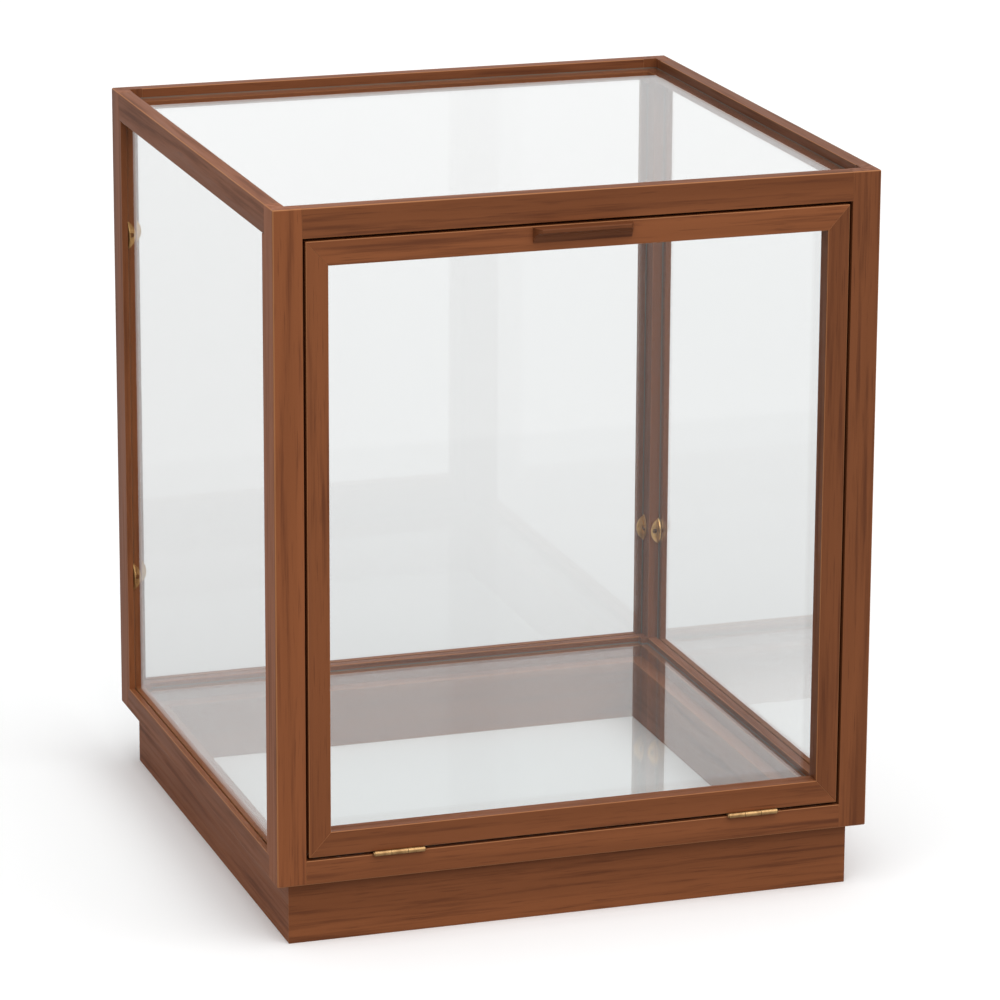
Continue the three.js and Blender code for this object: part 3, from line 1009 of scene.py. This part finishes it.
@dataclass
class Studio:
    """A pale floor, a white surround, soft lamps and the camera."""

    camera_place: Vector = Vector((-1.0243, -3.1179, 1.1599))
    heading: float = 0.3208  # radians
    tilt_down: float = 0.2769  # radians
    roll: float = 0.0047  # radians
    lens: float = 183.8  # millimetres
    sensor: float = 36.0  # millimetres
    floor_size: float = 60.0
    white_floor: float = 0.97
    mirrored_floor: float = 0.62
    bounced_floor: float = 0.5
    # metres behind the middle of the case, and the floor's tone there as seen through glass:
    # painted shade, darkest about 0.3 m behind the case and lighter further off
    floor_through_glass: tuple[tuple[float, float], ...] = (
        (0.18, 0.86),
        (0.3, 0.75),
        (0.94, 0.79),
        (0.96, 0.815),
        (4.0, 0.95),
    )
    sky_fill: float = 0.55
    sky_mirrored: float = 1.2
    key_strength: float = 2.5
    key_spread: float = 80.0  # degrees
    key_height: float = 62.0  # degrees
    key_side: float = 5.0  # degrees

    def build(self) -> None:
        """Sets up the whole studio."""
        self.make_world()
        self.make_floor()
        self.make_key()
        self.make_camera()
        bpy.context.scene.view_settings.view_transform = "Standard"

    def make_world(self) -> None:
        """Shows a white surround in glass and metal, and lights the room with a part of it."""
        world = bpy.data.worlds.new("studio")
        world.use_nodes = True
        bpy.context.scene.world = world
        board = Board(world.node_tree)
        background = board.add("ShaderNodeBackground")
        kinds = {"Is Diffuse Ray": self.sky_fill, "Is Glossy Ray": self.sky_mirrored}
        board.feed(background.inputs["Strength"], board.by_ray(1.0, kinds))
        board.close(background, "ShaderNodeOutputWorld")

    def make_floor(self) -> None:
        """Lays a floor that is white to the eye, and greyer in mirrors and through glass, where
        painted shade darkens it behind the case.
        """
        bpy.ops.object.select_all(action="DESELECT")
        bpy.ops.mesh.primitive_plane_add(size=self.floor_size)
        floor = bpy.context.object
        floor.name = "studio_floor"
        material, board = new_material("pale_floor")
        place = board.add("ShaderNodeTexCoord")
        parts = board.add("ShaderNodeSeparateXYZ")
        board.feed(parts.inputs[0], place.outputs["Object"])
        behind = self.tone_behind(board, parts.outputs["Y"])
        kinds = {
            "Is Diffuse Ray": self.bounced_floor,
            "Is Glossy Ray": self.mirrored_floor,
            "Is Transmission Ray": behind,
        }
        tone = board.by_ray(self.white_floor, kinds)
        colour = board.add("ShaderNodeCombineColor")
        for socket in colour.inputs:
            board.feed(socket, tone)
        shader = board.add("ShaderNodeBsdfDiffuse")
        board.feed(shader.inputs["Color"], colour.outputs[0])
        board.close(shader)
        dress(floor, material)

    def tone_behind(self, board: Board, distance: Socket) -> Socket:
        """Gives the floor's tone as seen through glass, with its painted shade, by its distance
        behind the case's middle.

        Args:
            board: The node board.
            distance: The distance in metres.

        Returns:
            The tone's socket.
        """
        (start, tone), *rest = self.floor_through_glass
        socket = board.math("ADD", tone, 0.0)
        for end, next_tone in rest:
            rise = board.remap(distance, start, end, 0.0, next_tone - tone)
            socket = board.math("ADD", socket, rise)
            start, tone = end, next_tone
        return socket

    def make_key(self) -> None:
        """Hangs one very broad, soft lamp high up on the front right."""
        light = bpy.data.lights.new("key", "SUN")
        light.energy = self.key_strength
        light.angle = math.radians(self.key_spread)
        lamp = bpy.data.objects.new("key", light)
        bpy.context.scene.collection.objects.link(lamp)
        height, side = math.radians(self.key_height), math.radians(self.key_side)
        flat = math.cos(height)
        towards = Vector((flat * math.sin(side), -flat * math.cos(side), math.sin(height)))
        lamp.rotation_euler = (-towards).to_track_quat("-Z", "Y").to_euler()

    def make_camera(self) -> None:
        """Puts the camera where the case shows its front, its left side and its top."""
        data = bpy.data.cameras.new("portrait")
        data.lens = self.lens
        data.sensor_width = self.sensor
        camera = bpy.data.objects.new("portrait", data)
        bpy.context.scene.collection.objects.link(camera)
        heading = Matrix.Rotation(-self.heading, 4, "Z")
        tilt = Matrix.Rotation(math.pi / 2 - self.tilt_down, 4, "X")
        roll = Matrix.Rotation(self.roll, 4, "Z")
        camera.matrix_world = Matrix.Translation(self.camera_place) @ heading @ tilt @ roll
        bpy.context.scene.camera = camera


def main() -> None:
    """Builds the case's looks and its studio."""
    logging.basicConfig(level=logging.INFO, format="%(message)s")
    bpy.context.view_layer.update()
    WoodenFrame().build()
    Glazing().build()
    Fittings().build()
    Studio().build()


if __name__ == "__main__":
    main()
